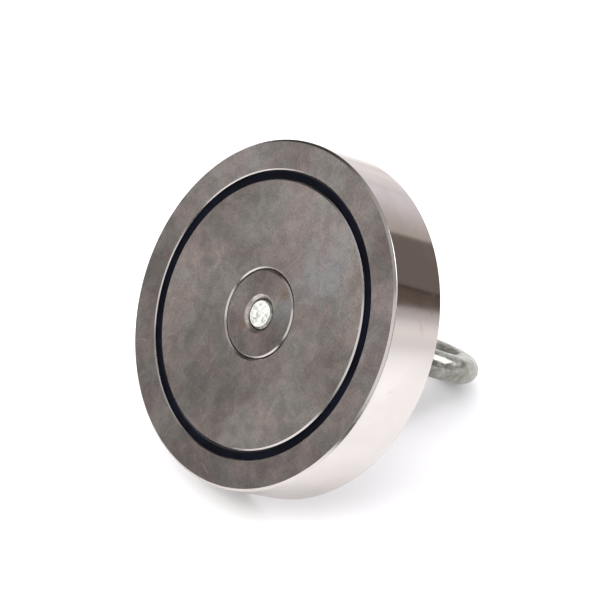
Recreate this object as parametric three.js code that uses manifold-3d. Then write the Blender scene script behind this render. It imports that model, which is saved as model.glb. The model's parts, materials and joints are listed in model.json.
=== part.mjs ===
// Single-sided fishing magnet: a plated steel pot holding a ring magnet under a pole plate, potted in
// black resin, with a long-shank eyebolt through its hub and a lock nut and washers on its back.
// Millimetres, +Z up. The magnet stands as it is put down on a table: it leans back on the lower back
// edge of its pot and on the eye. The working face looks towards -Y and up.
import * as THREE from "three";
import { mergeVertices } from "three/addons/utils/BufferGeometryUtils.js";
import Module from "manifold-3d";

const wasm = await Module();
wasm.setup();

// Driving dimensions.
const POT_DIAMETER = 116;
const POT_HEIGHT = 22.5;
const POT_WALL = 10.2;
const POT_FLOOR = 8.5;
const FACE_EDGE_CHAMFER = 0.8;
const BACK_EDGE_CHAMFER = 0.4;
const GROOVE_WIDTH = 3;
const POTTING_RECESS = 0.9;
const PLATE_THICKNESS = 5.4;
const PLATE_BEVEL = 0.5;
const MAGNET_INSET = 2;
const MAGNET_BORE = 40;
const HUB_HEAD_DIAMETER = 29.4;
const HUB_BODY_DIAMETER = 24;
const HUB_EDGE_BEVEL = 0.55;
const THREAD_DIAMETER = 10;
const HUB_MOUTH_CHAMFER = 1.2;
const SHANK_RECESS = 0.5;
const SHANK_END_CHAMFER = 0.6;
const SHANK_OUT_LENGTH = 35;
const EYE_INNER_DIAMETER = 25;
const EYE_BAR_DIAMETER = 10;
const EYE_NECK_DIAMETER = 12;
const EYE_NECK_LENGTH = 5;
const EYE_TWIST_DEGREES = -10.5;
const WASHER_DIAMETER = 20;
const WASHER_THICKNESS = 2;
const SPRING_WASHER_DIAMETER = 18.1;
const SPRING_WASHER_THICKNESS = 2.2;
const SPRING_WASHER_SLIT = 1.2;
const SPRING_WASHER_SLIT_DEGREES = 25;
const NUT_ACROSS_FLATS = 17;
const NUT_THICKNESS = 8;
const NUT_CHAMFER_DEGREES = 30;
const NUT_FACE_DIAMETER = 16.2;

// Gaps between pieces that touch, and round the thread.
const SEAT_GAP = 0.3;
const THREAD_GAP = 0.3;

// Facets round the large discs, the small ones and the eye.
const DISC_FACETS = 72;
const SMALL_FACETS = 36;
const EYE_FACETS = 48;
const BAR_FACETS = 18;

// The neck's root lies inside the eye's bar, and the lean is found by this many halvings.
const NECK_ROOT_SHARE = 0.8;
const LEAN_STEPS = 40;

// Sizes that follow.
const potRadius = POT_DIAMETER / 2;
const grooveOuterRadius = potRadius - POT_WALL;
const plateRadius = grooveOuterRadius - GROOVE_WIDTH;
const magnetRadius = plateRadius - MAGNET_INSET;
const floorFront = POT_HEIGHT - POT_FLOOR;
const magnetFront = PLATE_THICKNESS + SEAT_GAP;
const magnetBack = floorFront - SEAT_GAP;
const threadRadius = THREAD_DIAMETER / 2;
const holeRadius = threadRadius + THREAD_GAP;
const eyeMeanRadius = (EYE_INNER_DIAMETER + EYE_BAR_DIAMETER) / 2;
const eyeBarRadius = EYE_BAR_DIAMETER / 2;
const eyeCentreDepth = POT_HEIGHT + SHANK_OUT_LENGTH + eyeBarRadius + eyeMeanRadius;
const twist = THREE.MathUtils.degToRad(EYE_TWIST_DEGREES);

// Revolves [radius, depth] points about the magnet's axis. Depth grows from the face to the back.
// Half a facet of phase turns a flat of the rim, not a corner, to the table.
function revolve(points, facets) {
  const outline = points.map(([radius, depth]) => new THREE.Vector2(radius, depth));
  outline.push(outline[0].clone());
  return new THREE.LatheGeometry(outline, facets, Math.PI / facets);
}

// A closed geometry as a solid that can be joined and cut, and back again.
function solid(geometry) {
  const bare = new THREE.BufferGeometry();
  const flat = geometry.index ? geometry.toNonIndexed() : geometry;
  bare.setAttribute("position", flat.getAttribute("position"));
  const merged = mergeVertices(bare, 1e-4);
  return new wasm.Manifold(
    new wasm.Mesh({
      numProp: 3,
      vertProperties: new Float32Array(merged.attributes.position.array),
      triVerts: new Uint32Array(merged.index.array),
    }),
  );
}

function geometryOf(made) {
  const mesh = made.getMesh();
  const geometry = new THREE.BufferGeometry();
  geometry.setAttribute("position", new THREE.BufferAttribute(new Float32Array(mesh.vertProperties), 3));
  geometry.setIndex(new THREE.BufferAttribute(new Uint32Array(mesh.triVerts), 1));
  return geometry;
}

// Steel cup: the face edge and the back edge are chamfered, and the eyebolt's hole runs through its floor.
function potGeometry() {
  return revolve(
    [
      [holeRadius, POT_HEIGHT],
      [holeRadius, floorFront],
      [grooveOuterRadius, floorFront],
      [grooveOuterRadius, 0],
      [potRadius - FACE_EDGE_CHAMFER, 0],
      [potRadius, FACE_EDGE_CHAMFER],
      [potRadius, POT_HEIGHT - BACK_EDGE_CHAMFER],
      [potRadius - BACK_EDGE_CHAMFER, POT_HEIGHT],
    ],
    DISC_FACETS,
  );
}

function plateGeometry() {
  const boreRadius = HUB_HEAD_DIAMETER / 2 + SEAT_GAP;
  return revolve(
    [
      [boreRadius, PLATE_THICKNESS],
      [boreRadius, HUB_EDGE_BEVEL],
      [boreRadius + HUB_EDGE_BEVEL, 0],
      [plateRadius - PLATE_BEVEL, 0],
      [plateRadius, PLATE_BEVEL],
      [plateRadius, PLATE_THICKNESS],
    ],
    DISC_FACETS,
  );
}

function magnetGeometry() {
  return revolve(
    [
      [MAGNET_BORE / 2, magnetBack],
      [MAGNET_BORE / 2, magnetFront],
      [magnetRadius, magnetFront],
      [magnetRadius, magnetBack],
    ],
    DISC_FACETS,
  );
}

// Resin round the plate and the magnet, down to the pot's floor.
function pottingGeometry() {
  const outer = grooveOuterRadius - SEAT_GAP;
  const besidePlate = plateRadius + SEAT_GAP;
  const besideMagnet = magnetRadius + SEAT_GAP;
  return revolve(
    [
      [besidePlate, POTTING_RECESS],
      [outer, POTTING_RECESS],
      [outer, magnetBack],
      [besideMagnet, magnetBack],
      [besideMagnet, PLATE_THICKNESS + SEAT_GAP],
      [besidePlate, PLATE_THICKNESS + SEAT_GAP],
    ],
    DISC_FACETS,
  );
}

// Stepped bush: its head fills the plate's bore, and its body stands on the pot's floor.
function hubGeometry() {
  const headRadius = HUB_HEAD_DIAMETER / 2;
  const bodyRadius = HUB_BODY_DIAMETER / 2;
  return revolve(
    [
      [holeRadius, magnetBack],
      [holeRadius, HUB_MOUTH_CHAMFER],
      [holeRadius + HUB_MOUTH_CHAMFER, 0],
      [headRadius - HUB_EDGE_BEVEL, 0],
      [headRadius, HUB_EDGE_BEVEL],
      [headRadius, PLATE_THICKNESS],
      [bodyRadius, PLATE_THICKNESS],
      [bodyRadius, magnetBack],
    ],
    DISC_FACETS,
  );
}

function innerPottingGeometry() {
  const inner = HUB_BODY_DIAMETER / 2 + SEAT_GAP;
  const outer = MAGNET_BORE / 2 - SEAT_GAP;
  const front = PLATE_THICKNESS + SEAT_GAP;
  return revolve(
    [
      [inner, magnetBack],
      [inner, front],
      [outer, front],
      [outer, magnetBack],
    ],
    SMALL_FACETS,
  );
}

// Forged eyebolt: the shank ends below the face, and a flared neck carries the eye.
function eyeboltGeometry() {
  const neckEnd = POT_HEIGHT + SHANK_OUT_LENGTH;
  const rootRadius = Math.min(threadRadius, eyeBarRadius) * NECK_ROOT_SHARE;
  const shank = new THREE.LatheGeometry(
    [
      new THREE.Vector2(0, SHANK_RECESS),
      new THREE.Vector2(threadRadius - SHANK_END_CHAMFER, SHANK_RECESS),
      new THREE.Vector2(threadRadius, SHANK_RECESS + SHANK_END_CHAMFER),
      new THREE.Vector2(threadRadius, neckEnd - EYE_NECK_LENGTH),
      new THREE.Vector2(EYE_NECK_DIAMETER / 2, neckEnd),
      new THREE.Vector2(rootRadius, neckEnd + eyeBarRadius),
      new THREE.Vector2(0, neckEnd + eyeBarRadius),
    ],
    SMALL_FACETS,
    Math.PI / SMALL_FACETS,
  );
  const eye = new THREE.TorusGeometry(eyeMeanRadius, eyeBarRadius, BAR_FACETS, EYE_FACETS);
  eye.rotateY(twist);
  eye.translate(0, eyeCentreDepth, 0);
  return geometryOf(solid(shank).add(solid(eye)));
}

function washerGeometry(diameter, thickness) {
  return revolve(
    [
      [holeRadius, thickness],
      [holeRadius, 0],
      [diameter / 2, 0],
      [diameter / 2, thickness],
    ],
    SMALL_FACETS,
  );
}

// Split ring, pressed flat, with a slanting slit.
function springWasherGeometry() {
  const ring = washerGeometry(SPRING_WASHER_DIAMETER, SPRING_WASHER_THICKNESS);
  const slit = new THREE.BoxGeometry(SPRING_WASHER_SLIT, SPRING_WASHER_DIAMETER, SPRING_WASHER_DIAMETER / 2);
  slit.rotateZ(THREE.MathUtils.degToRad(SPRING_WASHER_SLIT_DEGREES));
  slit.translate(0, SPRING_WASHER_THICKNESS / 2, SPRING_WASHER_DIAMETER / 4 + holeRadius / 2);
  return geometryOf(solid(ring).subtract(solid(slit)));
}

// Hexagon nut, chamfered at both ends.
function nutGeometry() {
  const cornerRadius = NUT_ACROSS_FLATS / Math.sqrt(3);
  const faceRadius = NUT_FACE_DIAMETER / 2;
  const run = (cornerRadius - faceRadius) * Math.tan(THREE.MathUtils.degToRad(NUT_CHAMFER_DEGREES));
  const hexagon = new THREE.CylinderGeometry(cornerRadius, cornerRadius, NUT_THICKNESS, 6);
  hexagon.translate(0, NUT_THICKNESS / 2, 0);
  const barrel = revolve(
    [
      [holeRadius, NUT_THICKNESS],
      [holeRadius, 0],
      [faceRadius, 0],
      [cornerRadius, run],
      [cornerRadius, NUT_THICKNESS - run],
      [faceRadius, NUT_THICKNESS],
    ],
    SMALL_FACETS,
  );
  return geometryOf(solid(hexagon).intersect(solid(barrel)));
}

// The lean at which the pot's lower back edge and the eye touch the table together. Halving the
// interval finds it: below it the eye hangs lower than the pot, above it the pot hangs lower.
function leanAngle() {
  const rimRadius = potRadius * Math.cos(Math.PI / DISC_FACETS);
  const shankReach = eyeCentreDepth - POT_HEIGHT;
  let low = 0;
  let high = Math.PI / 2;
  for (let step = 0; step < LEAN_STEPS; step += 1) {
    const lean = (low + high) / 2;
    const tilt = Math.hypot(Math.sin(lean), Math.cos(lean) * Math.sin(twist));
    const rimDrop = rimRadius * Math.cos(lean) - BACK_EDGE_CHAMFER * Math.sin(lean);
    const eyeDrop = shankReach * Math.sin(lean) + eyeMeanRadius * tilt + eyeBarRadius;
    if (rimDrop > eyeDrop) low = lean;
    else high = lean;
  }
  return (low + high) / 2;
}

const groundNickel = { color: 0x7d7672, roughness: 0.38, metalness: 1 };
const brightNickel = { color: 0xcfc6c0, roughness: 0.16, metalness: 1 };
const blackResin = { color: 0x0b0c10, roughness: 0.22, metalness: 0 };
const sinteredMagnet = { color: 0x9a9794, roughness: 0.35, metalness: 1 };
const galvanised = { color: 0x8c8d84, roughness: 0.62, metalness: 1 };
const brightZinc = { color: 0xc3c6c8, roughness: 0.35, metalness: 1 };

const magnet = new THREE.Group();

function piece(name, geometry, look, depth = 0) {
  const mesh = new THREE.Mesh(geometry, new THREE.MeshStandardMaterial(look));
  mesh.name = name;
  mesh.position.y = depth;
  magnet.add(mesh);
}

const washerDepth = POT_HEIGHT + SEAT_GAP;
const springDepth = washerDepth + WASHER_THICKNESS + SEAT_GAP;
const nutDepth = springDepth + SPRING_WASHER_THICKNESS + SEAT_GAP;

piece("steel_pot", potGeometry(), brightNickel);
piece("pole_plate", plateGeometry(), groundNickel);
piece("ring_magnet", magnetGeometry(), sinteredMagnet);
piece("potting_ring", pottingGeometry(), blackResin);
piece("inner_potting", innerPottingGeometry(), blackResin);
piece("centre_hub", hubGeometry(), groundNickel);
piece("eyebolt", eyeboltGeometry(), galvanised);
piece("flat_washer", washerGeometry(WASHER_DIAMETER, WASHER_THICKNESS), brightZinc, washerDepth);
piece("spring_washer", springWasherGeometry(), brightZinc, springDepth);
piece("lock_nut", nutGeometry(), brightZinc, nutDepth);

// The magnet's axis runs down towards +Y. The origin is under the middle of the whole, on the table.
magnet.rotation.x = -leanAngle();
const extent = new THREE.Box3().setFromObject(magnet, true);
const middle = extent.getCenter(new THREE.Vector3());
magnet.position.set(-middle.x, -middle.y, -extent.min.z);

const part = new THREE.Group();
part.add(magnet);

export default part;
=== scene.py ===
# Looks of a single-sided fishing magnet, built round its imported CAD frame. Metres, +Z up.
import json
import math

import bmesh
import bpy
from mathutils import Matrix, Vector, noise


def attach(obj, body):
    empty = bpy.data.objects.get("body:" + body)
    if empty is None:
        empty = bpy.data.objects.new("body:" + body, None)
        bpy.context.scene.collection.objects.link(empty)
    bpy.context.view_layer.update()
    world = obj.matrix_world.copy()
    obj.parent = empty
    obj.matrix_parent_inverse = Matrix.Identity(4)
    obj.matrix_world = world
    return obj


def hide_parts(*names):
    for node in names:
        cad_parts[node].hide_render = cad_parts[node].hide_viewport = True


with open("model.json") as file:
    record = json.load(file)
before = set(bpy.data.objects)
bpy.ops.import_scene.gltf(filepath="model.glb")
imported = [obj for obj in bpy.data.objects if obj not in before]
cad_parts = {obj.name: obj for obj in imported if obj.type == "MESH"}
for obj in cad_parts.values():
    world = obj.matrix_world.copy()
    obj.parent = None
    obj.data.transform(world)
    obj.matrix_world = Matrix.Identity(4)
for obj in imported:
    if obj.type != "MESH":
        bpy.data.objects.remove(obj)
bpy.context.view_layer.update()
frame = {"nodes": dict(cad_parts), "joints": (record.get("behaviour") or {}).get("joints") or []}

MM = 0.001
PITCH = 1.5 * MM
THREAD_PLAY = 0.11 * MM  # how far the hub's and the nut's threads stand clear of the shank's
ROUND = 288  # sides of the large turned pieces
SMALL_ROUND = 96  # sides of the shank, the hub and the washers
THREAD_ROWS = 12  # rows of points in each turn of thread
SAME = 2e-5  # two CAD sizes closer than this are one size

# A nickel piece has these three materials. The last number of an outline's point picks one.
# Pieces made of one material have 0 there.
GROUND, BRIGHT, EDGE = 0, 1, 2
SHEARED = 1  # the eyebolt's second material

# ---------------------------------------------------------------- the magnet's own frame
# x runs across the face, y is depth from the face to the back, z points up the face.
turn = next(j for j in frame["joints"] if j["name"] == "eyebolt_turn")
ACROSS = Vector((1, 0, 0))
BACK = Vector(turn["axis"]).normalized()
OVER = ACROSS.cross(BACK).normalized()
pivot = Vector(turn["pos_m"])
depths = [(v.co - pivot).dot(BACK) for v in frame["nodes"]["steel_pot"].data.vertices]
FACE = pivot + BACK * min(depths)
MAGNET = Matrix.Translation(FACE) @ Matrix((ACROSS, BACK, OVER)).transposed().to_4x4()
TO_MAGNET = MAGNET.inverted()


def corners_of(node):
    """A CAD piece's corners in the magnet's frame."""
    return [TO_MAGNET @ v.co for v in frame["nodes"][node].data.vertices]


def off_axis(p):
    return math.hypot(p.x, p.z)


def rings(node):
    """The (radius, depth) pairs that a CAD piece's corners stand at."""
    return sorted({(round(off_axis(p), 6), round(p.y, 6)) for p in corners_of(node)})


def radii(node, depth):
    """Smallest and largest radius of a CAD piece at a depth."""
    found = [r for r, d in rings(node) if abs(d - depth) < SAME]
    return min(found), max(found)


def depth_span(node):
    """Smallest and largest depth of a CAD piece."""
    found = [d for r, d in rings(node)]
    return min(found), max(found)


# ---------------------------------------------------------------- mesh helpers
def add_object(name, mesh, materials):
    """Moves a mesh out of the magnet's frame and puts it in the scene."""
    mesh.transform(MAGNET)
    obj = bpy.data.objects.new(name, mesh)
    bpy.context.scene.collection.objects.link(obj)
    for material in materials:
        mesh.materials.append(material)
    return obj


def shade(mesh, degrees):
    for polygon in mesh.polygons:
        polygon.use_smooth = True
    mesh.set_sharp_from_angle(angle=math.radians(degrees))


def soften(corners, closed=True):
    """Rounds each (radius, depth, rounding, finish) corner with an arc held by a point each side."""
    count = len(corners)
    points = []
    for i, (r, d, rounding, finish) in enumerate(corners):
        here = Vector((r, d))
        ends = not closed and i in (0, count - 1)
        if rounding == 0 or ends:
            points.append((r, d, finish))
            continue
        before = Vector(corners[i - 1][:2]) - here
        after = Vector(corners[(i + 1) % count][:2]) - here
        half = before.angle(after) / 2
        back_off = rounding / math.tan(half)
        back_off = min(back_off, before.length * 0.4, after.length * 0.4)
        start = here + before.normalized() * back_off
        stop = here + after.normalized() * back_off
        hold = min(back_off * 0.5, before.length * 0.1, after.length * 0.1)
        lead = start + before.normalized() * hold
        trail = stop + after.normalized() * hold
        last = corners[i - 1][3]
        points.append((lead.x, lead.y, last))
        steps = 5
        for k in range(steps + 1):
            t = k / steps
            p = start * (1 - t) ** 2 + here * 2 * t * (1 - t) + stop * t * t
            points.append((p.x, p.y, last if t < 0.5 else finish))
        points.append((trail.x, trail.y, finish))
    return points


def on_ring(r, d, angle):
    """The point at a radius, a depth and an angle from the magnet's top."""
    return (r * math.sin(angle), d, r * math.cos(angle))


def skin(bm, loops):
    """Joins each closed loop of vertices to the next one."""
    for one, two in zip(loops, loops[1:]):
        for k in range(len(one)):
            j = (k + 1) % len(one)
            bm.faces.new((one[k], two[k], two[j], one[j]))


def revolve(name, outline, materials, count=ROUND, sharp=35, wobble=None, closed=True):
    """Turns (radius, depth, finish) points about the axis. finish names the strip after the point."""
    bm = bmesh.new()
    columns = []
    for k in range(count):
        angle = 2 * math.pi * k / count
        column = []
        for r, d, _ in outline:
            if wobble:
                r, d = wobble(r, d, angle)
            column.append(bm.verts.new(on_ring(r, d, angle)))
        columns.append(column)
    spans = len(outline) if closed else len(outline) - 1
    for k in range(count):
        one = columns[k]
        two = columns[(k + 1) % count]
        for i in range(spans):
            j = (i + 1) % len(outline)
            face = bm.faces.new((one[i], one[j], two[j], two[i]))
            face.material_index = outline[i][2]
    return finish_mesh(name, bm, materials, sharp)


def finish_mesh(name, bm, materials, sharp):
    """Makes a shaded object from a bmesh. Edges sharper than sharp, in degrees, stay crisp."""
    bmesh.ops.recalc_face_normals(bm, faces=bm.faces)
    mesh = bpy.data.meshes.new(name)
    bm.to_mesh(mesh)
    bm.free()
    shade(mesh, sharp)
    return add_object(name, mesh, materials)


def thread_radius(depth, angle, low, high):
    """Radius of a right-hand thread's flank, flat at the root and the crest."""
    phase = (depth / PITCH - angle / (2 * math.pi)) % 1.0
    rise = 1 - abs(2 * phase - 1)
    rise = min(1.0, max(0.0, (rise - 0.14) / 0.72))
    return low + (high - low) * rise


def rough(p, scale, seed):
    """Smooth random height between about -1 and 1 at a point."""
    return noise.noise(Vector((p[0] * scale + seed, p[1] * scale - seed, p[2] * scale)))


# ---------------------------------------------------------------- shader nodes
def colour(value):
    """Adds alpha to a plain (r, g, b) and passes anything else through."""
    if isinstance(value, (tuple, list)) and len(value) == 3:
        return (*value, 1.0)
    return value


def scaled(base, share, lift=0.0):
    return tuple(c * share + lift for c in base)


def grey(level):
    return (level, level, level)


class Shader:
    """Short ways to add and wire the nodes of a material or a world."""

    def __init__(self, owner):
        owner.use_nodes = True
        self.tree = owner.node_tree
        self.tree.nodes.clear()

    def node(self, kind, operation=None):
        node = self.tree.nodes.new("ShaderNode" + kind)
        if operation:
            node.operation = operation
        return node

    def put(self, value, socket):
        if isinstance(value, bpy.types.NodeSocket):
            self.tree.links.new(value, socket)
        else:
            socket.default_value = value

    def math(self, operation, a, b=0.0):
        node = self.node("Math", operation)
        self.put(a, node.inputs[0])
        self.put(b, node.inputs[1])
        return node.outputs[0]

    def product(self, a, b):
        return self.math("MULTIPLY", a, b)

    def total(self, a, b):
        return self.math("ADD", a, b)

    def against(self, vector, operation, fixed):
        """Distance or dot product of a vector and a fixed one."""
        node = self.node("VectorMath", operation)
        self.put(vector, node.inputs[0])
        node.inputs[1].default_value = fixed
        return node.outputs["Value"]

    def split(self, vector):
        node = self.node("SeparateXYZ")
        self.put(vector, node.inputs[0])
        return node.outputs

    def ramp(self, value, low, high, start=0.0, end=1.0):
        node = self.node("MapRange")
        node.interpolation_type = "SMOOTHSTEP"
        self.put(value, node.inputs["Value"])
        for key, limit in (("From Min", low), ("From Max", high), ("To Min", start), ("To Max", end)):
            node.inputs[key].default_value = limit
        return node.outputs["Result"]

    def between(self, value, low, high, soft):
        """1 from low to high and 0 elsewhere, with soft edges."""
        rise = self.ramp(value, low - soft, low + soft)
        fall = self.ramp(value, high - soft, high + soft, 1.0, 0.0)
        return self.product(rise, fall)

    def mix(self, share, one, two, blend="MIX"):
        node = self.node("Mix")
        node.data_type = "RGBA"
        node.blend_type = blend
        self.put(share, node.inputs["Factor"])
        self.put(colour(one), node.inputs["A"])
        self.put(colour(two), node.inputs["B"])
        return node.outputs["Result"]

    def vary(self, tone, value, low, high, least, most):
        """Multiplies a tone by a colour that goes from least to most as value goes from low to high."""
        return self.mix(1.0, tone, self.mix(self.ramp(value, low, high), least, most), "MULTIPLY")


class Surface(Shader):
    """A principled material. place is in the magnet's own frame and table_place in the room's."""

    def __init__(self, name):
        self.material = bpy.data.materials.new(name)
        super().__init__(self.material)
        self.shader = self.node("BsdfPrincipled")
        self.tree.links.new(self.shader.outputs[0], self.node("OutputMaterial").inputs[0])
        self.table_place = self.node("TexCoord").outputs["Object"]
        self.place = self.table_place
        turns = [math.degrees(angle) for angle in TO_MAGNET.to_euler()]
        self.place = self.stretch(turn_degrees=turns, shift=TO_MAGNET.translation)
        self.bumps = None

    def stretch(self, scale=(1, 1, 1), turn_degrees=(0, 0, 0), shift=(0, 0, 0)):
        node = self.node("Mapping")
        node.inputs["Location"].default_value = shift
        node.inputs["Rotation"].default_value = [math.radians(angle) for angle in turn_degrees]
        node.inputs["Scale"].default_value = scale
        self.put(self.place, node.inputs["Vector"])
        return node.outputs[0]

    def noise(self, scale, detail=4, roughness=0.55, warp=0.0, place=None):
        node = self.node("TexNoise")
        node.inputs["Scale"].default_value = scale
        node.inputs["Detail"].default_value = detail
        node.inputs["Roughness"].default_value = roughness
        node.inputs["Distortion"].default_value = warp
        self.put(place or self.place, node.inputs["Vector"])
        return node.outputs["Fac"]

    def scratches(self, scale, thin, turn_degrees, seed, share):
        """Long hairlines: a noise stretched one way, kept only where a cloud is high."""
        along = self.stretch((scale, scale, scale * thin), turn_degrees, (seed, seed * 0.7, seed * 1.3))
        lines = self.noise(1.0, 1.0, 0.4, 0.0, along)
        near = self.math("ABSOLUTE", self.math("SUBTRACT", lines, 0.5))
        line = self.ramp(near, 0.0, 0.006, 1.0, 0.0)
        cloud = self.noise(38.0 + seed * 3, 2, 0.5)
        return self.product(line, self.ramp(cloud, share, share + 0.08))

    def nick(self, across, up, degrees, length, width):
        """One short straight scratch: its middle, its direction from x, its length and its width."""
        x, _, z = self.split(self.place)
        cosine, sine = math.cos(math.radians(degrees)), math.sin(math.radians(degrees))
        right, over = self.math("SUBTRACT", x, across), self.math("SUBTRACT", z, up)
        along = self.total(self.product(right, cosine), self.product(over, sine))
        off = self.math("SUBTRACT", self.product(over, cosine), self.product(right, sine))
        near = self.ramp(self.math("ABSOLUTE", off), width * 0.3, width, 1.0, 0.0)
        held = self.ramp(self.math("ABSOLUTE", along), length * 0.4, length * 0.5, 1.0, 0.0)
        return self.product(near, held)

    def bump(self, height, strength, distance):
        node = self.node("Bump")
        node.inputs["Strength"].default_value = strength
        node.inputs["Distance"].default_value = distance
        self.put(height, node.inputs["Height"])
        if self.bumps:
            self.put(self.bumps, node.inputs["Normal"])
        self.bumps = node.outputs[0]

    def finish(self, **values):
        """Sets the shader's sockets, named with _ for a space, and gives back the material."""
        for key, value in values.items():
            self.put(value, self.shader.inputs[key.replace("_", " ")])
        if self.bumps:
            self.put(self.bumps, self.shader.inputs["Normal"])
        return self.material


# ---------------------------------------------------------------- materials
def ground_nickel(name, base, rough_low, rough_high, seed, tinted_patches, nicks=()):
    """Ground and plated steel face: cloudy tone, tinted patches (painted highlights and rust stains
    among them), painted shading towards the top, fine speckle, hairlines and a few nicks.
    """
    n = Surface(name)
    clouds = n.noise(26.0, 5, 0.62, 0.6, n.stretch(shift=(seed, 0, seed)))
    smears = n.noise(60.0, 4, 0.6, 1.4, n.stretch((1, 1, 0.55), (0, 34, 0), (seed * 2, 1, 0)))
    speck = n.noise(1500.0, 3, 0.7)
    tone = n.mix(n.ramp(clouds, 0.38, 0.62), scaled(base, 0.84), scaled(base, 1.1, 0.008))
    tone = n.mix(n.ramp(smears, 0.5, 0.72, 0.0, 0.35), tone, scaled(base, 1.1, 0.03))
    tone = n.mix(n.ramp(speck, 0.58, 0.74, 0.0, 0.7), tone, scaled(base, 0.6))
    # Each listed patch mixes in its tint: the pale ones on the plate and the hub are painted
    # highlights, the orange-brown ones rust stains.
    for across, up, size, share, tint in tinted_patches:
        away = n.against(n.place, "DISTANCE", (across, 0, up))
        reach = n.total(away, n.product(smears, size * 0.9))
        tone = n.mix(n.ramp(reach, size * 0.5, size * 1.7, share, 0.0), tone, tint)

    mottle = n.noise(190.0, 4, 0.65, 0.6, n.stretch(shift=(seed, 4, 1)))
    fine = n.noise(1300.0, 3, 0.75, 0.0, n.stretch(shift=(2, seed, 1)))
    hue = n.noise(75.0, 3, 0.6, 0.8, n.stretch(shift=(seed, 9, seed)))
    tone = n.vary(tone, mottle, 0.34, 0.66, grey(0.87), grey(1.12))
    tone = n.vary(tone, fine, 0.32, 0.68, grey(0.86), grey(1.13))
    tone = n.vary(tone, hue, 0.36, 0.64, (0.96, 1.01, 1.0), (1.04, 0.985, 0.98))

    # painted shading: the face is painted paler towards its top and darker towards its bottom, as the
    # light falls on it
    x, _, z = n.split(n.place)
    painted_shading_rise = n.total(n.product(z, 0.8), n.product(x, -0.05))
    painted_shading_rise = n.total(painted_shading_rise, n.product(n.math("SUBTRACT", smears, 0.5), 0.03))
    tone = n.vary(tone, painted_shading_rise, -0.05, 0.05, (0.76, 0.755, 0.76), (1.46, 1.46, 1.47))

    up_hairs = n.scratches(900.0, 0.012, (0, 31, 0), seed + 1.1, 0.56)
    down_hairs = n.scratches(700.0, 0.014, (0, -52, 0), seed + 4.7, 0.58)
    lines = n.math("MAXIMUM", up_hairs, down_hairs)
    for nick in nicks:
        lines = n.math("MAXIMUM", lines, n.nick(*nick))
    tone = n.mix(n.product(lines, 0.75), tone, (0.85, 0.83, 0.81))
    rust = n.noise(330.0, 3, 0.6, 0.5, n.stretch(shift=(seed * 5, 3, 2)))
    tone = n.mix(n.ramp(rust, 0.735, 0.8, 0.0, 0.5), tone, (0.42, 0.2, 0.09))

    roughness = n.ramp(clouds, 0.32, 0.7, rough_low, rough_high)
    roughness = n.total(roughness, n.ramp(smears, 0.48, 0.72, 0.0, 0.05))
    n.bump(n.noise(5200.0, 2, 0.6), 0.25, 0.00002)
    n.bump(speck, 0.2, 0.00003)
    n.bump(lines, 0.3, 0.00003)
    return n.finish(Base_Color=tone, Metallic=1.0, Roughness=roughness)


def bright_nickel(name, rough_low, rough_high, darker=0.0):
    """Turned and nickel-plated wall: near-mirror, with faint turning lines and small stains."""
    n = Surface(name)
    clouds = n.noise(34.0, 4, 0.6, 0.4)
    tinted_patches = n.noise(210.0, 4, 0.65, 0.8)
    lines = n.noise(1.0, 2, 0.5, 0.0, n.stretch((12, 9000, 12)))
    pits = n.noise(2600.0, 2, 0.6)
    dull = scaled((0.63, 0.6, 0.58), 1.0, -darker)
    clean = scaled((0.7, 0.67, 0.655), 1.0, -darker)
    tone = n.mix(n.ramp(clouds, 0.35, 0.65), dull, clean)
    tone = n.mix(n.ramp(tinted_patches, 0.6, 0.74, 0.0, 0.45), tone, (0.57, 0.51, 0.47))
    tone = n.mix(n.ramp(pits, 0.7, 0.8, 0.0, 0.4), tone, (0.45, 0.42, 0.4))
    roughness = n.ramp(clouds, 0.3, 0.7, rough_low, rough_high)
    roughness = n.total(roughness, n.ramp(tinted_patches, 0.55, 0.75, 0.0, 0.08))
    n.bump(lines, 0.1, 0.000015)
    n.bump(pits, 0.12, 0.00001)
    return n.finish(Base_Color=tone, Metallic=1.0, Roughness=roughness)


def resin(name):
    """Glossy black potting resin with slight flow waves and dust specks."""
    n = Surface(name)
    flow = n.noise(120.0, 3, 0.5, 0.6)
    dust = n.noise(3800.0, 2, 0.7)
    tone = n.mix(n.ramp(flow, 0.4, 0.7), (0.0015, 0.0018, 0.004), (0.0025, 0.0035, 0.008))
    tone = n.mix(n.ramp(dust, 0.74, 0.82, 0.0, 0.5), tone, (0.16, 0.16, 0.17))
    roughness = n.ramp(flow, 0.3, 0.7, 0.1, 0.2)
    n.bump(flow, 0.35, 0.0002)
    n.shader.inputs["Specular IOR Level"].default_value = 0.2
    return n.finish(Base_Color=tone, Metallic=0.0, Roughness=roughness, IOR=1.5)


def galvanised(name):
    """Hot-dipped forged steel: grey-olive and mottled, with zinc blooms and scale pits."""
    n = Surface(name)
    mottle = n.noise(300.0, 5, 0.65, 0.5)
    bloom = n.noise(90.0, 3, 0.6, 0.3)
    pits = n.noise(900.0, 3, 0.65)
    tone = n.mix(n.ramp(mottle, 0.38, 0.64), (0.2, 0.2, 0.172), (0.35, 0.353, 0.315))
    tone = n.mix(n.ramp(bloom, 0.45, 0.7, 0.0, 0.5), tone, (0.42, 0.43, 0.41))
    tone = n.mix(n.ramp(pits, 0.62, 0.76, 0.0, 0.75), tone, (0.13, 0.125, 0.105))
    roughness = n.ramp(mottle, 0.35, 0.7, 0.12, 0.28)
    n.bump(mottle, 0.2, 0.0001)
    n.bump(pits, 0.3, 0.00008)
    return n.finish(Base_Color=tone, Metallic=0.6, Roughness=roughness)


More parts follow.
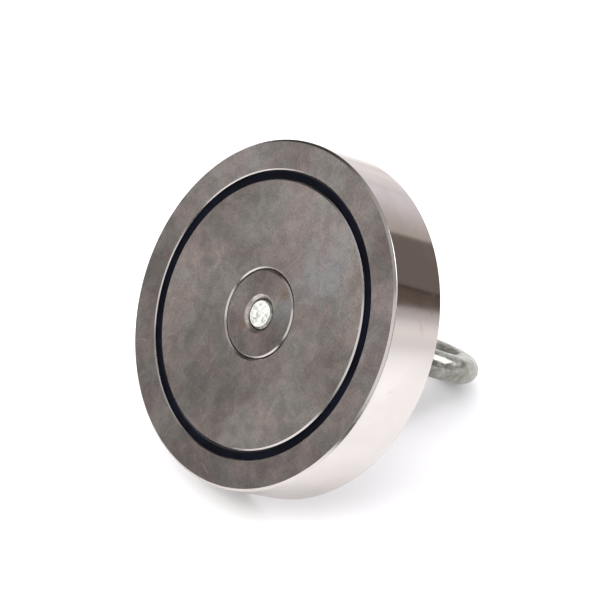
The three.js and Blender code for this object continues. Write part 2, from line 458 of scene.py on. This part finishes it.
def bright_end(name):
    """Freshly sheared and galvanised shank end: silvery, with grey-green creases."""
    n = Surface(name)
    blotch = n.noise(700.0, 4, 0.65, 1.2)
    fine = n.noise(2400.0, 3, 0.6)
    tone = n.mix(n.ramp(blotch, 0.42, 0.66), (0.77, 0.775, 0.75), (0.36, 0.39, 0.33))
    roughness = n.ramp(blotch, 0.3, 0.7, 0.26, 0.42)
    n.bump(blotch, 0.5, 0.00015)
    n.bump(fine, 0.25, 0.00004)
    return n.finish(Base_Color=tone, Metallic=0.35, Roughness=roughness)


def zinc(name, tint):
    """Bright zinc plate on stamped and turned hardware, with clouds and handling marks."""
    n = Surface(name)
    clouds = n.noise(160.0, 4, 0.6, 0.5)
    fine = n.noise(2600.0, 3, 0.6)
    tone = n.mix(n.ramp(clouds, 0.35, 0.65), scaled(tint, 0.86), tint)
    tone = n.mix(n.ramp(fine, 0.62, 0.75, 0.0, 0.5), tone, scaled(tint, 0.55))
    roughness = n.ramp(clouds, 0.3, 0.7, 0.24, 0.36)
    n.bump(fine, 0.25, 0.00004)
    return n.finish(Base_Color=tone, Metallic=1.0, Roughness=roughness)


def magnet_plate(name):
    """Nickel plate over sintered magnet: flat grey with a fine orange-peel."""
    n = Surface(name)
    clouds = n.noise(70.0, 4, 0.6, 0.3)
    peel = n.noise(1700.0, 3, 0.6)
    tone = n.mix(n.ramp(clouds, 0.35, 0.65), (0.44, 0.43, 0.42), (0.56, 0.55, 0.54))
    n.bump(peel, 0.3, 0.00005)
    return n.finish(Base_Color=tone, Metallic=1.0, Roughness=n.ramp(clouds, 0.3, 0.7, 0.26, 0.4))


def pale_floor(name):
    """White table. Mirrored in metal, its far parts are darker, as a lit table in a dim room is."""
    n = Surface(name)
    drift = n.noise(3.0, 2, 0.5)
    white = n.mix(n.ramp(drift, 0.35, 0.65), (0.84, 0.84, 0.845), (0.86, 0.86, 0.86))
    x, y, _ = n.split(n.table_place)
    far = n.math("SQRT", n.total(n.product(x, x), n.product(y, y)))
    mirrored = n.mix(n.ramp(far, 0.14, 0.42), (0.7, 0.685, 0.68), (0.45, 0.425, 0.41))
    mirrored = n.mix(n.ramp(far, 0.4, 1.4), mirrored, (0.2, 0.18, 0.17))
    # For mirrored rays only: painted shade darkens the floor towards -X and makes it near black past
    # the corner line, and painted light makes a band 0.3 to 0.6 m away glow.
    left = n.math("SUBTRACT", n.product(y, 0.35), x)
    mirrored = n.mix(n.ramp(left, 0.45, 0.9), mirrored, (0.42, 0.4, 0.4))
    corner = n.math("SUBTRACT", x, n.product(y, 0.8))
    mirrored = n.mix(n.ramp(corner, 0.3, 0.36), mirrored, (0.03, 0.025, 0.02))
    glow = n.product(n.ramp(far, 0.3, 0.6), n.ramp(corner, 0.3, 0.36, 1.0, 0.0))
    glossy = n.node("LightPath").outputs["Is Glossy Ray"]
    n.shader.inputs["Emission Color"].default_value = (0.23, 0.215, 0.21, 1.0)
    n.shader.inputs["Specular IOR Level"].default_value = 0.1
    strength = n.product(glow, glossy)
    tone = n.mix(glossy, white, mirrored)
    return n.finish(Base_Color=tone, Metallic=0.0, Roughness=0.85, Emission_Strength=strength)


# A patch is (across, up, size, share, tint) and a nick is (across, up, degrees, length, width).
RIM_PALE_PATCHES = (
    (0.045, 0.02, 0.02, 0.45, (0.64, 0.61, 0.61)),
    (0.0, 0.055, 0.03, 0.5, (0.62, 0.6, 0.58)),
    (-0.036, 0.036, 0.022, 0.55, (0.62, 0.6, 0.6)),
)
RIM_NICKS = (
    (-0.0415, -0.0335, 20, 0.0035, 0.00012),
    (0.0105, -0.0525, -15, 0.005, 0.0001),
    (0.038, 0.0395, 75, 0.004, 0.0001),
    (-0.0505, 0.012, 60, 0.006, 0.00008),
)
# Painted highlights: pale patches where the plate's turned face mirrors lighter wedges of light.
PLATE_HIGHLIGHTS = (
    (0.0154, 0.0253, 0.014, 0.9, (0.78, 0.79, 0.82)),
    (-0.002, 0.036, 0.024, 0.9, (0.68, 0.64, 0.62)),
    (0.02, -0.01, 0.02, 0.5, (0.66, 0.62, 0.59)),
)
# A painted highlight on the hub's upper right, and two orange-brown rust stains.
HUB_HIGHLIGHT_AND_RUST = (
    (0.009, 0.006, 0.006, 0.6, (0.62, 0.63, 0.64)),
    (0.006, 0.0105, 0.0025, 0.5, (0.5, 0.33, 0.2)),
    (-0.004, -0.0065, 0.002, 0.5, (0.5, 0.34, 0.22)),
)
HUB_NICKS = (
    (-0.0037, -0.0112, 128, 0.006, 0.00012),
    (-0.0123, -0.0033, 80, 0.001, 0.0003),
)
RIM_BASE = (0.5, 0.46, 0.44)
PLATE_BASE = (0.575, 0.535, 0.505)
RIM_NICKEL = ground_nickel("ground_nickel_rim", RIM_BASE, 0.36, 0.46, 0.3, RIM_PALE_PATCHES, RIM_NICKS)
PLATE_NICKEL = ground_nickel("ground_nickel_plate", PLATE_BASE, 0.36, 0.47, 2.6, PLATE_HIGHLIGHTS)
HUB_NICKEL = ground_nickel("ground_nickel_hub", RIM_BASE, 0.35, 0.45, 5.2, HUB_HIGHLIGHT_AND_RUST, HUB_NICKS)
WALL_NICKEL = bright_nickel("bright_nickel_wall", 0.07, 0.11)
EDGE_NICKEL = bright_nickel("turned_nickel_edge", 0.17, 0.26, darker=0.07)
RESIN = resin("black_potting_resin")
FORGED = galvanised("galvanised_forging")
SHANK_END = bright_end("sheared_shank_end")
ZINC = zinc("bright_zinc", (0.66, 0.68, 0.7))
SPRING_ZINC = zinc("spring_zinc", (0.5, 0.5, 0.49))
SINTERED = magnet_plate("plated_sintered_magnet")

# ---------------------------------------------------------------- pot
pot_front, pot_back = depth_span("steel_pot")
inner_rim, face_edge = radii("steel_pot", pot_front)
pot_radius = max(r for r, d in rings("steel_pot"))
wall_depths = [d for r, d in rings("steel_pot") if abs(r - pot_radius) < SAME]
bore, back_edge = radii("steel_pot", pot_back)
pot_floor = min(d for r, d in rings("steel_pot") if abs(r - bore) < SAME)
nip = 0.35 * MM
pot = revolve(
    "pot_body",
    soften(
        [
            (bore, pot_back, 0.2 * MM, BRIGHT),
            (bore, pot_floor, 0.0, BRIGHT),
            (inner_rim, pot_floor, 0.0, BRIGHT),
            (inner_rim, pot_front + nip, 0.05 * MM, EDGE),
            (inner_rim + nip, pot_front, 0.06 * MM, GROUND),
            (face_edge, pot_front, 0.25 * MM, EDGE),
            (pot_radius, min(wall_depths), 0.3 * MM, BRIGHT),
            (pot_radius, max(wall_depths), 0.25 * MM, BRIGHT),
            (back_edge, pot_back, 0.25 * MM, BRIGHT),
        ]
    ),
    [RIM_NICKEL, WALL_NICKEL, EDGE_NICKEL],
)

# ---------------------------------------------------------------- pole plate and hub
plate_front, plate_back = depth_span("pole_plate")
plate_bore, plate_outer = radii("pole_plate", plate_back)
seam_outer, plate_edge = radii("pole_plate", plate_front)
seam_depth = min(d for r, d in rings("pole_plate") if abs(r - plate_bore) < SAME)
bevel_depth = min(d for r, d in rings("pole_plate") if abs(r - plate_outer) < SAME)
plate = revolve(
    "pole_plate_ground",
    soften(
        [
            (plate_bore, plate_back, 0.0, BRIGHT),
            (plate_bore, seam_depth, 0.15 * MM, EDGE),
            (seam_outer, plate_front, 0.2 * MM, GROUND),
            (plate_edge, plate_front, 0.08 * MM, EDGE),
            (plate_outer, bevel_depth, 0.08 * MM, BRIGHT),
            (plate_outer, plate_back, 0.0, BRIGHT),
        ]
    ),
    [PLATE_NICKEL, WALL_NICKEL, EDGE_NICKEL],
)

hub_front, hub_back = depth_span("centre_hub")
mouth, hub_edge = radii("centre_hub", hub_front)
hub_outer = max(r for r, d in rings("centre_hub"))
hub_rings = [d for r, d in rings("centre_hub") if abs(r - hub_outer) < SAME]
hub_bore, hub_body = radii("centre_hub", hub_back)
mouth_depth = min(d for r, d in rings("centre_hub") if abs(r - hub_bore) < SAME)
# The CAD's bore is a plain hole a little wider than the thread's crests.
shank_radius = 0.94 * hub_bore
thread_low, thread_high = 0.79 * hub_bore, shank_radius


def hub_object():
    """Headed hub with a threaded bore from its mouth chamfer to its back."""
    bm = bmesh.new()
    rows = round((hub_back - mouth_depth) / PITCH * THREAD_ROWS)
    grid = []
    for i in range(rows + 1):
        d = mouth_depth + (hub_back - mouth_depth) * i / rows
        line = []
        for k in range(SMALL_ROUND):
            angle = 2 * math.pi * k / SMALL_ROUND
            r = thread_radius(d, angle, thread_low, thread_high) + THREAD_PLAY
            edge = min(d - mouth_depth, hub_back - d) / PITCH
            r = hub_bore - (hub_bore - r) * min(1.0, edge)
            line.append(bm.verts.new(on_ring(r, d, angle)))
        grid.append(line)
    skin(bm, grid)
    outline = soften(
        [
            (hub_bore, mouth_depth, 0.0, GROUND),
            (mouth, hub_front, 0.2 * MM, GROUND),
            (hub_edge, hub_front, 0.2 * MM, EDGE),
            (hub_outer, min(hub_rings), 0.15 * MM, EDGE),
            (hub_outer, max(hub_rings), 0.0, BRIGHT),
            (hub_body, max(hub_rings), 0.0, BRIGHT),
            (hub_body, hub_back, 0.0, BRIGHT),
            (hub_bore, hub_back, 0.0, BRIGHT),
        ],
        closed=False,
    )
    columns = []
    for k in range(SMALL_ROUND):
        angle = 2 * math.pi * k / SMALL_ROUND
        column = [grid[0][k]]
        for r, d, _ in outline[1:-1]:
            column.append(bm.verts.new(on_ring(r, d, angle)))
        column.append(grid[-1][k])
        columns.append(column)
    for k in range(SMALL_ROUND):
        one = columns[k]
        two = columns[(k + 1) % SMALL_ROUND]
        for i in range(len(outline) - 1):
            face = bm.faces.new((one[i], one[i + 1], two[i + 1], two[i]))
            face.material_index = outline[i][2]
    for face in bm.faces:
        if face.calc_center_median().y > mouth_depth and face.material_index == GROUND:
            face.material_index = BRIGHT
    return finish_mesh("centre_hub_turned", bm, [HUB_NICKEL, WALL_NICKEL, EDGE_NICKEL], 35)


hub = hub_object()

# ---------------------------------------------------------------- resin
potting_front, potting_back = depth_span("potting_ring")
groove_in, groove_out = radii("potting_ring", potting_front)
under_in = radii("potting_ring", potting_back)[0]
step_depth = max(d for r, d in rings("potting_ring") if abs(r - groove_in) < SAME)
touch = 0.27 * MM  # the CAD's resin stops short of the steel, and this closes most of that gap


def resin_waves(r, d, angle):
    """Slight waves on the resin's open face."""
    if d > potting_front + 0.6 * MM:
        return r, d
    wave = 0.06 * MM * noise.noise(Vector((math.sin(angle) * 5, math.cos(angle) * 5, r * 300)))
    return r, d + wave


potting = revolve(
    "potting_resin",
    [
        (groove_in - touch, potting_front - 0.28 * MM, 0),
        (groove_in - touch * 0.7, potting_front - 0.13 * MM, 0),
        (groove_in + 0.05 * MM, potting_front - 0.03 * MM, 0),
        (groove_in + 0.35 * MM, potting_front + 0.02 * MM, 0),
        ((groove_in + groove_out) / 2, potting_front + 0.05 * MM, 0),
        (groove_out - 0.35 * MM, potting_front + 0.02 * MM, 0),
        (groove_out - 0.05 * MM, potting_front - 0.03 * MM, 0),
        (groove_out + touch * 0.7, potting_front - 0.13 * MM, 0),
        (groove_out + touch, potting_front - 0.28 * MM, 0),
        (groove_out + touch, potting_back, 0),
        (under_in, potting_back, 0),
        (under_in, step_depth, 0),
        (groove_in - touch, step_depth, 0),
    ],
    [RESIN],
    wobble=resin_waves,
)

inner_front, inner_back = depth_span("inner_potting")
sleeve_in, sleeve_out = radii("inner_potting", inner_front)
sleeve = revolve(
    "inner_resin_sleeve",
    soften(
        [
            (sleeve_in, inner_back, 0.2 * MM, 0),
            (sleeve_in, inner_front, 0.4 * MM, 0),
            (sleeve_out, inner_front, 0.4 * MM, 0),
            (sleeve_out, inner_back, 0.2 * MM, 0),
        ]
    ),
    [RESIN],
    wobble=lambda r, d, a: (r, d + 0.05 * MM * math.sin(3 * a) * math.sin(7 * a)),
)

magnet_front, magnet_back = depth_span("ring_magnet")
magnet_in, magnet_out = radii("ring_magnet", magnet_front)
ring_magnet = revolve(
    "sintered_ring",
    soften(
        [
            (magnet_in, magnet_back, 0.4 * MM, 0),
            (magnet_in, magnet_front, 0.4 * MM, 0),
            (magnet_out, magnet_front, 0.4 * MM, 0),
            (magnet_out, magnet_back, 0.4 * MM, 0),
        ]
    ),
    [SINTERED],
)

# ---------------------------------------------------------------- eyebolt
bolt_points = corners_of("eyebolt")
bolt_front = min(p.y for p in bolt_points)
bolt_back = max(p.y for p in bolt_points)
eye_far = max(bolt_points, key=off_axis)
eye_outer = off_axis(eye_far)
bar_radius = shank_radius
eye_centre = bolt_back - eye_outer
eye_mean = eye_outer - bar_radius
eye_side = Vector((eye_far.x, 0, eye_far.z)).normalized()
if eye_side.x < 0:
    eye_side = -eye_side
eye_normal = eye_side.cross(Vector((0, 1, 0))).normalized()
neck_back = eye_centre - eye_mean
neck_front = neck_back - 2 * bar_radius


def eye_body():
    """Ring and flared neck, joined, then worked over like a forging."""
    bm = bmesh.new()
    around, across = 96, 28
    grid = []
    for i in range(around):
        a = 2 * math.pi * i / around
        out = eye_side * math.cos(a) + Vector((0, 1, 0)) * math.sin(a)
        line = []
        for k in range(across):
            b = 2 * math.pi * k / across
            p = out * (eye_mean + bar_radius * math.cos(b)) + eye_normal * bar_radius * math.sin(b)
            line.append(bm.verts.new((p.x, p.y + eye_centre, p.z)))
        grid.append(line)
    skin(bm, grid + grid[:1])
    neck = [
        (0.0, neck_front),
        (shank_radius, neck_front),
        (shank_radius * 1.02, neck_front + 1.2 * MM),
        (shank_radius * 1.08, neck_front + 3.0 * MM),
        (shank_radius * 1.22, neck_back - bar_radius),
        (shank_radius * 1.1, neck_back - bar_radius * 0.2),
        (0.0, neck_back),
    ]
    columns = []
    count = 48
    for k in range(count):
        a = 2 * math.pi * k / count
        columns.append([bm.verts.new(on_ring(r, d, a)) for r, d in neck[1:-1]])
    foot = bm.verts.new((0, neck[0][1], 0))
    head = bm.verts.new((0, neck[-1][1], 0))
    for k in range(count):
        one, two = columns[k], columns[(k + 1) % count]
        bm.faces.new((foot, one[0], two[0]))
        bm.faces.new((head, two[-1], one[-1]))
        for i in range(len(one) - 1):
            bm.faces.new((one[i], one[i + 1], two[i + 1], two[i]))
    bmesh.ops.recalc_face_normals(bm, faces=bm.faces)
    mesh = bpy.data.meshes.new("eye_rough")
    bm.to_mesh(mesh)
    bm.free()
    rough_eye = bpy.data.objects.new("eye_rough", mesh)
    bpy.context.scene.collection.objects.link(rough_eye)
    remesh = rough_eye.modifiers.new("voxels", "REMESH")
    remesh.mode = "VOXEL"
    remesh.voxel_size = 0.5 * MM
    smooth = rough_eye.modifiers.new("blend", "SMOOTH")
    smooth.factor = 0.5
    smooth.iterations = 8
    depsgraph = bpy.context.evaluated_depsgraph_get()
    done = bpy.data.meshes.new_from_object(rough_eye.evaluated_get(depsgraph))
    bpy.data.objects.remove(rough_eye)
    normals = [v.normal.copy() for v in done.vertices]
    for v, normal in zip(done.vertices, normals):
        p = v.co
        low = rough(p, 210.0, 3.1) * 0.16 * MM
        high = rough(p, 620.0, 8.4) * 0.07 * MM
        level = abs((p - Vector((0, eye_centre, 0))).dot(eye_normal))
        flash = 0.16 * MM * max(0.0, 1 - level / (0.7 * MM)) if p.y > neck_back - bar_radius else 0.0
        hold = min(1.0, max(0.0, (p.y - neck_front) / (2 * MM)))
        v.co = p + normal * (low + high + flash - 0.12 * MM) * hold
    return done


def shank_body(bm):
    """Rolled thread from the sheared end to the neck, closed by a crinkled end."""
    thread_back = neck_front + 0.6 * MM
    lead = 1.2 * MM
    rows = round((thread_back - bolt_front) / PITCH * THREAD_ROWS)
    grid = []
    for i in range(rows + 1):
        d = bolt_front + (thread_back - bolt_front) * i / rows
        line = []
        for k in range(SMALL_ROUND):
            a = 2 * math.pi * k / SMALL_ROUND
            r = thread_radius(d, a, thread_low, thread_high)
            start = 0.89 * thread_high + (d - bolt_front) * 0.95
            r = min(r, start)
            run_out = min(1.0, max(0.0, (thread_back - lead - d) / lead + 1))
            r = thread_high * 0.985 - (thread_high * 0.985 - r) * run_out
            line.append(bm.verts.new(on_ring(r, d, a)))
        grid.append(line)
    skin(bm, grid)
    rim = grid[0]
    steps = 20
    last = rim
    for s in range(1, steps):
        share = 1 - s / steps
        line = []
        for k in range(SMALL_ROUND):
            a = 2 * math.pi * k / SMALL_ROUND
            edge_radius = math.hypot(rim[k].co.x, rim[k].co.z)
            r = edge_radius * share
            p = Vector((math.sin(a), 0, math.cos(a)))
            fold = noise.noise(Vector((p.x * 3.1 + 4.0, p.z * 3.1, share * 0.8)))
            fold += 0.5 * noise.noise(Vector((p.x * 7.3, p.z * 7.3 + 2.0, share * 1.7)))
            sag = 0.5 * noise.noise(Vector((p.x * r * 420, 5.0, p.z * r * 420)))
            size = math.sin(math.pi * min(1.0, share * 1.05)) * 0.9 + 0.1
            lift = (fold * 0.42 * size + sag * 0.3 * size + 0.12 * (1 - share)) * MM
            lift = max(lift, -0.02 * MM)
            line.append(bm.verts.new((r * p.x, bolt_front + abs(lift), r * p.z)))
        for k in range(SMALL_ROUND):
            j = (k + 1) % SMALL_ROUND
            face = bm.faces.new((last[k], last[j], line[j], line[k]))
            face.material_index = SHEARED
        last = line
    tip = bm.verts.new((0, bolt_front + 0.2 * MM, 0))
    for k in range(SMALL_ROUND):
        face = bm.faces.new((last[k], last[(k + 1) % SMALL_ROUND], tip))
        face.material_index = SHEARED
    root = bm.verts.new((0, thread_back, 0))
    for k in range(SMALL_ROUND):
        bm.faces.new((grid[-1][(k + 1) % SMALL_ROUND], grid[-1][k], root))


def eyebolt_object():
    """The forged eye and the threaded shank as one mesh."""
    worked = eye_body()
    bm = bmesh.new()
    bm.from_mesh(worked)
    shank_body(bm)
    bm.normal_update()
    return finish_mesh("forged_eyebolt", bm, [FORGED, SHANK_END], 50)


eyebolt = eyebolt_object()

# ---------------------------------------------------------------- washers and nut
washer_front, washer_back = depth_span("flat_washer")
washer_in, washer_out = radii("flat_washer", washer_front)
washer = revolve(
    "stamped_washer",
    soften(
        [
            (washer_in, washer_back, 0.15 * MM, 0),
            (washer_in, washer_front, 0.3 * MM, 0),
            (washer_out, washer_front, 0.15 * MM, 0),
            (washer_out, washer_back, 0.5 * MM, 0),
        ]
    ),
    [ZINC],
    count=SMALL_ROUND,
)

spring_front, spring_back = depth_span("spring_washer")
spring_rings = [off_axis(p) for p in corners_of("spring_washer")]
spring_in, spring_out = min(spring_rings), max(spring_rings)


def spring_object():
    """Split ring swept from one slanted end to the other, its edges rounded."""
    bm = bmesh.new()
    half = (spring_back - spring_front) / 2
    middle = (spring_back + spring_front) / 2
    corner = 0.35 * MM
    section = []
    for sr, sd, start in ((1, -1, -90), (1, 1, 0), (-1, 1, 90), (-1, -1, 180)):
        centre_r = spring_out - corner if sr > 0 else spring_in + corner
        centre_d = middle + sd * (half - corner)
        for k in range(4):
            a = math.radians(start + 30 * k)
            section.append((centre_r + corner * math.cos(a), centre_d + corner * math.sin(a)))
    slit = 1.2 * MM / ((spring_in + spring_out) / 2)
    slant = math.tan(math.radians(25))
    count = SMALL_ROUND
    loops = []
    for i in range(count + 1):
        t = i / count
        base = slit / 2 + (2 * math.pi - slit) * t
        lean = 1.0 - min(1.0, min(t, 1 - t) * 8)
        line = []
        for r, d in section:
            a = base - slant * (d - middle) / r * lean
            line.append(bm.verts.new(on_ring(r, d, a)))
        loops.append(line)
    skin(bm, loops)
    bm.faces.new(loops[0])
    bm.faces.new(loops[-1][::-1])
    return finish_mesh("split_spring_washer", bm, [SPRING_ZINC], 40)


spring = spring_object()

nut_front, nut_back = depth_span("lock_nut")
nut_face = radii("lock_nut", nut_front)[1]
corner_point = max(corners_of("lock_nut"), key=off_axis)
nut_corner = off_axis(corner_point)
nut_turn = math.atan2(corner_point.x, corner_point.z)


def nut_object():
    """Hexagon with its cone chamfers, softened corners and a threaded bore."""
    bm = bmesh.new()
    flat = nut_corner * math.cos(math.pi / 6)
    count = 144
    rows = round((nut_back - nut_front) / PITCH * THREAD_ROWS)
    cut = math.tan(math.radians(30))
    mouth_radius = thread_high + 0.35 * MM
    loops = []
    for k in range(count):
        a = 2 * math.pi * k / count
        off = (a - nut_turn) % (math.pi / 3)  # from the corner before this angle
        h = flat / math.cos(off - math.pi / 6)
        h = min(h, nut_corner - 0.25 * MM)
        drop = (h - nut_face) * cut
        line = []
        profile = [
            (mouth_radius, nut_front),
            (nut_face - 0.1 * MM, nut_front),
            (nut_face, nut_front + 0.02 * MM),
            (h - 0.12 * MM, nut_front + drop - 0.07 * MM),
            (h - 0.02 * MM, nut_front + drop + 0.06 * MM),
            (h, nut_front + drop + 0.25 * MM),
            (h, nut_back - drop - 0.25 * MM),
            (h - 0.02 * MM, nut_back - drop - 0.06 * MM),
            (h - 0.12 * MM, nut_back - drop + 0.07 * MM),
            (nut_face, nut_back - 0.02 * MM),
            (nut_face - 0.1 * MM, nut_back),
            (mouth_radius, nut_back),
        ]
        for i in range(rows + 1):
            d = nut_back - 0.35 * MM - (nut_back - nut_front - 0.7 * MM) * i / rows
            r = thread_radius(d, a, thread_low, thread_high) + THREAD_PLAY
            profile.append((r, d))
        for r, d in profile:
            line.append(bm.verts.new(on_ring(r, d, a)))
        loops.append(line)
    size = len(loops[0])
    for k in range(count):
        one, two = loops[k], loops[(k + 1) % count]
        for i in range(size):
            j = (i + 1) % size
            bm.faces.new((one[i], one[j], two[j], two[i]))
    return finish_mesh("hexagon_lock_nut", bm, [ZINC], 28)


nut = nut_object()

# ---------------------------------------------------------------- bodies, nodes and slots
for piece, body, node, slot in (
    (pot, "pot", "steel_pot", "nickel_pot"),
    (plate, "pot", "pole_plate", "nickel_plate"),
    (hub, "pot", "centre_hub", "nickel_plate"),
    (potting, "pot", "potting_ring", "black_resin"),
    (sleeve, "pot", "inner_potting", "black_resin"),
    (ring_magnet, "pot", "ring_magnet", "sintered_magnet"),
    (eyebolt, "eyebolt", "eyebolt", "galvanised_steel"),
    (washer, "washer", "flat_washer", "zinc_hardware"),
    (spring, "spring_washer", "spring_washer", "zinc_hardware"),
    (nut, "nut", "lock_nut", "zinc_hardware"),
):
    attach(piece, body)
    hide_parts(node)

# ---------------------------------------------------------------- floor
FLOOR_HALF = 3.0
floor_mesh = bpy.data.meshes.new("floor")
bm = bmesh.new()
signs = ((-1, -1), (1, -1), (1, 1), (-1, 1))
bm.faces.new([bm.verts.new((x * FLOOR_HALF, y * FLOOR_HALF, 0)) for x, y in signs])
bm.to_mesh(floor_mesh)
bm.free()
floor_mesh.materials.append(pale_floor("pale_floor"))
floor = bpy.data.objects.new("floor", floor_mesh)
bpy.context.scene.collection.objects.link(floor)


# ---------------------------------------------------------------- camera
def direction(azimuth, elevation):
    """Unit vector to a place in the room. Azimuth 0 is -Y and 90 is +X."""
    a, e = math.radians(azimuth), math.radians(elevation)
    return Vector((math.sin(a) * math.cos(e), -math.cos(a) * math.cos(e), math.sin(e)))


# The camera aims at a point shifted from the middle of the face, and stands away from that
# point. Both shifts and the distance are in pot radii.
CAMERA_AZIMUTH = 54.26
CAMERA_ELEVATION = 36.46
CAMERA_AWAY = 15.68
AIM_RIGHT = 0.230
AIM_UP = 0.077
towards = direction(CAMERA_AZIMUTH, CAMERA_ELEVATION)
right = direction(CAMERA_AZIMUTH + 90, 0)
upward = towards.cross(right)
camera_data = bpy.data.cameras.new("camera")
camera_data.lens = 168
camera_data.sensor_width = 36
camera = bpy.data.objects.new("camera", camera_data)
bpy.context.scene.collection.objects.link(camera)
aim = FACE + (right * AIM_RIGHT + upward * AIM_UP) * pot_radius
stand = Matrix.Translation(aim + towards * (CAMERA_AWAY * pot_radius))
camera.matrix_world = stand @ Matrix((right, upward, towards)).transposed().to_4x4()
bpy.context.scene.camera = camera


# ---------------------------------------------------------------- light
def softbox(name, azimuth, elevation, away, size, power, tint):
    """A square area light that faces the table's middle and isn't seen in reflections."""
    data = bpy.data.lights.new(name, "AREA")
    data.shape = "SQUARE"
    data.size = size
    data.energy = power
    data.color = tint
    light = bpy.data.objects.new(name, data)
    bpy.context.scene.collection.objects.link(light)
    light.location = direction(azimuth, elevation) * away
    light.rotation_euler = light.location.to_track_quat("Z", "Y").to_euler()
    light.visible_glossy = False


softbox("key", -8, 40, away=1.6, size=0.9, power=14, tint=(1.0, 0.99, 0.985))
softbox("top", -5, 78, away=1.8, size=2.2, power=29, tint=(0.985, 0.985, 1.0))


def background(w, tone, strength):
    node = w.node("Background")
    w.put(colour(tone), node.inputs["Color"])
    node.inputs["Strength"].default_value = strength
    return node.outputs[0]


def studio_room():
    """The room that the metal mirrors. Matt surfaces get an even fill, and the backdrop is white.

    All angles are degrees. Bearing runs from -180 to 180 and wrap from 0 to 360, both as the
    azimuth of direction() does, and height is above the horizon.
    """
    world = bpy.data.worlds.new("room")
    bpy.context.scene.world = world
    w = Shader(world)
    ray = w.node("TexCoord").outputs["Generated"]
    x, y, z = w.split(ray)
    bearing = w.product(w.math("ARCTAN2", x, w.product(y, -1.0)), 180 / math.pi)
    height = w.product(w.math("ARCSINE", z), 180 / math.pi)
    wrap = w.math("FLOORED_MODULO", bearing, 360.0)

    ceiling = w.ramp(height, 45, 75)
    sky = w.mix(ceiling, (0.13, 0.118, 0.11), (0.55, 0.54, 0.54))

    # a brown wall behind the magnet, with one black line up it
    wall = w.product(w.between(wrap, 128, 186, 3.0), w.ramp(height, 24, 42, 1.0, 0.0))
    wall_tone = w.mix(w.ramp(wrap, 158.5, 161.5), (0.125, 0.094, 0.076), (0.2, 0.165, 0.145))
    sky = w.mix(wall, sky, wall_tone)
    line = w.product(wall, w.between(wrap, 159.9, 160.7, 0.2))
    sky = w.mix(line, sky, (0.0, 0.0, 0.0))

    # a pale screen beside the wall, and a bright window over the wall's upper part
    screen = w.product(w.between(wrap, 184.5, 236, 1.2), w.ramp(height, 36, 50, 1.0, 0.0))
    screen_tone = w.mix(w.ramp(wrap, 185, 208), (0.55, 0.49, 0.45), (0.84, 0.78, 0.82))
    sky = w.mix(screen, sky, screen_tone)
    window = w.product(w.between(wrap, 117, 167, 1.5), w.between(height, 22.5, 66, 1.5))
    sky = w.mix(window, sky, (5.4, 5.3, 5.5))

    # a bright side, a dark side, and the dim patch that the face itself mirrors
    bright_side = w.product(w.between(bearing, 12, 78, 6.0), w.between(height, 4, 58, 5.0))
    sky = w.mix(bright_side, sky, (1.05, 1.04, 1.05))
    dark_side = w.product(w.between(bearing, -125, -72, 6.0), w.ramp(height, 40, 56, 1.0, 0.0))
    sky = w.mix(dark_side, sky, (0.06, 0.055, 0.05))
    nearness = w.against(ray, "DOT_PRODUCT", direction(-42, 12.5))
    patch = w.ramp(nearness, math.cos(math.radians(26)), math.cos(math.radians(4)))
    sky = w.mix(patch, sky, (0.24, 0.225, 0.22))

    path = w.node("LightPath").outputs
    shown = background(w, sky, 1.0)
    for kind, tone, strength in (
        ("Is Diffuse Ray", (0.99, 0.99, 1.0), 0.81),
        ("Is Camera Ray", (1.0, 1.0, 1.0), 1.0),
    ):
        choice = w.node("MixShader")
        w.put(path[kind], choice.inputs[0])
        w.put(shown, choice.inputs[1])
        w.put(background(w, tone, strength), choice.inputs[2])
        shown = choice.outputs[0]
    w.put(shown, w.node("OutputWorld").inputs[0])


studio_room()
bpy.context.scene.view_settings.view_transform = "Standard"
